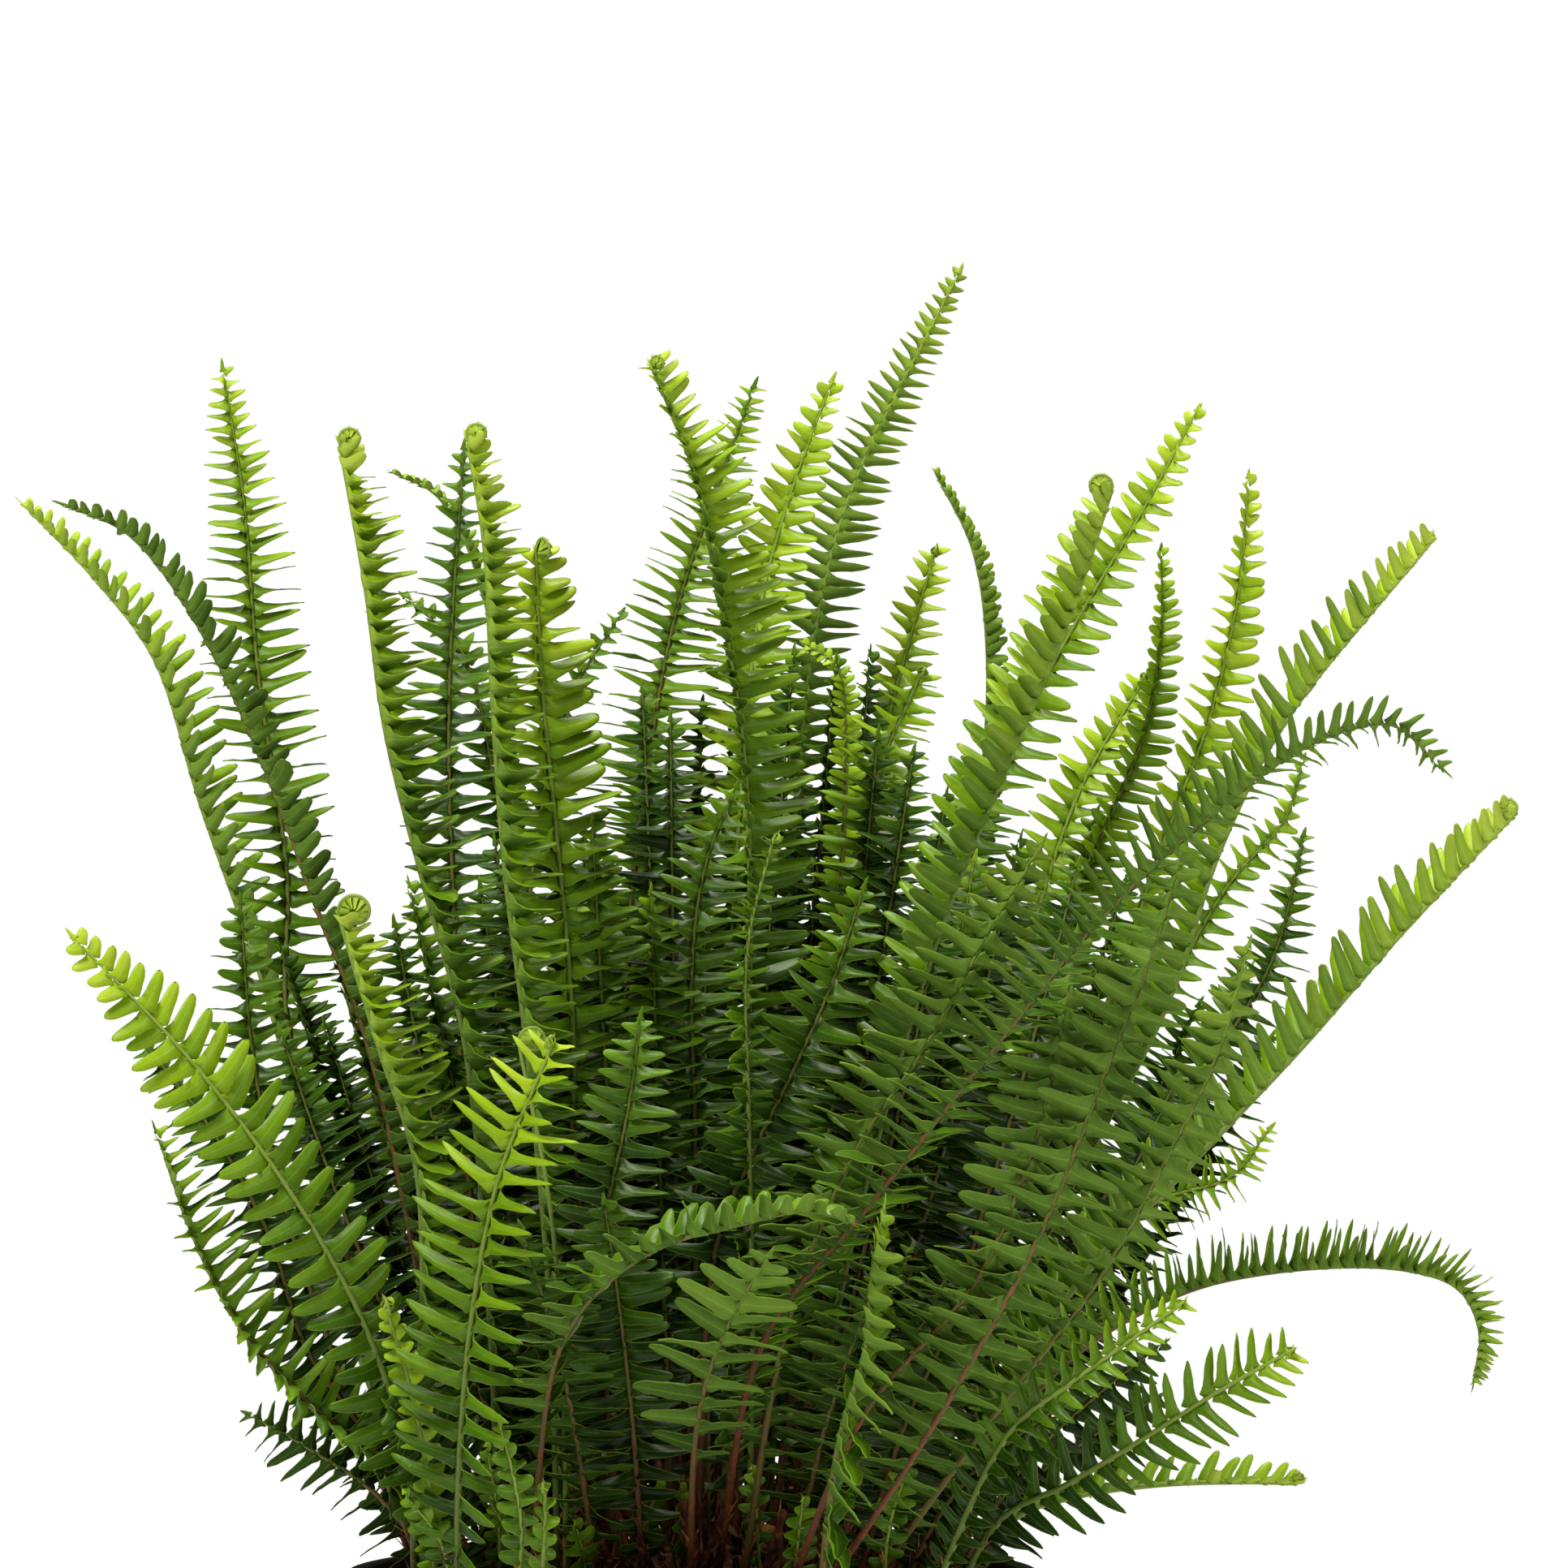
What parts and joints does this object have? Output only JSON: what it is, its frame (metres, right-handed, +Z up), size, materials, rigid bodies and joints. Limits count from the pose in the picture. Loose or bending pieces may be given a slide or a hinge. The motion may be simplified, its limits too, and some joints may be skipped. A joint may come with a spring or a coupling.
{
  "type": "potted fern",
  "caption": "Upright sword fern in a round black nursery pot, with narrow arching fronds, coiled young tips, a scaly crown and a soil mound.",
  "frame": {"origin": "centre of the pot's flat underside, on the surface it stands on", "axes": "+Z up the pot's axis through the plant; -Y towards the front, the side shown in the source picture; +X to the right seen from the front"},
  "size_m": [0.522, 0.4809, 0.6459],
  "materials": {
    "black_plastic": "satin",
    "peat": "matte",
    "brown_scales": "matte",
    "young_green": "satin",
    "pale_green": "satin",
    "mid_green": "satin",
    "dark_green": "satin",
    "olive_green": "satin",
    "shoot_green": "satin"
  },
  "bodies": {
    "root": {"nursery_pot": "black_plastic", "potting_soil": "peat", "rhizome_crown": "brown_scales", "left_frond_01": "young_green", "left_frond_02": "olive_green", "left_frond_03": "mid_green", "left_frond_04": "young_green", "left_frond_05": "mid_green", "left_frond_06": "dark_green", "left_frond_07": "dark_green", "left_frond_08": "young_green", "left_frond_09": "young_green", "left_frond_10": "dark_green", "left_frond_11": "young_green", "left_frond_12": "dark_green", "left_frond_13": "olive_green", "left_frond_14": "young_green", "left_frond_15": "shoot_green", "left_frond_16": "dark_green", "centre_frond_01": "dark_green", "centre_frond_02": "young_green", "centre_frond_03": "pale_green", "centre_frond_04": "pale_green", "centre_frond_05": "dark_green", "centre_frond_06": "young_green", "centre_frond_07": "mid_green", "centre_frond_08": "dark_green", "centre_frond_09": "shoot_green", "centre_frond_10": "dark_green", "centre_frond_11": "shoot_green", "centre_frond_12": "olive_green", "centre_frond_13": "olive_green", "centre_frond_14": "young_green", "centre_frond_15": "shoot_green", "centre_frond_16": "shoot_green", "centre_frond_17": "dark_green", "right_frond_01": "mid_green", "right_frond_02": "young_green", "right_frond_03": "young_green", "right_frond_04": "young_green", "right_frond_05": "dark_green", "right_frond_06": "pale_green", "right_frond_07": "young_green", "right_frond_08": "olive_green", "right_frond_09": "mid_green", "right_frond_10": "olive_green", "right_frond_11": "olive_green", "right_frond_12": "mid_green", "right_frond_13": "young_green", "right_frond_14": "dark_green", "right_frond_15": "mid_green", "right_frond_16": "mid_green", "right_frond_17": "dark_green", "right_frond_18": "young_green", "right_frond_19": "young_green", "right_frond_20": "pale_green", "right_frond_21": "mid_green", "back_frond_01": "mid_green", "back_frond_02": "mid_green", "back_frond_03": "dark_green"}
  },
  "joints": []
}
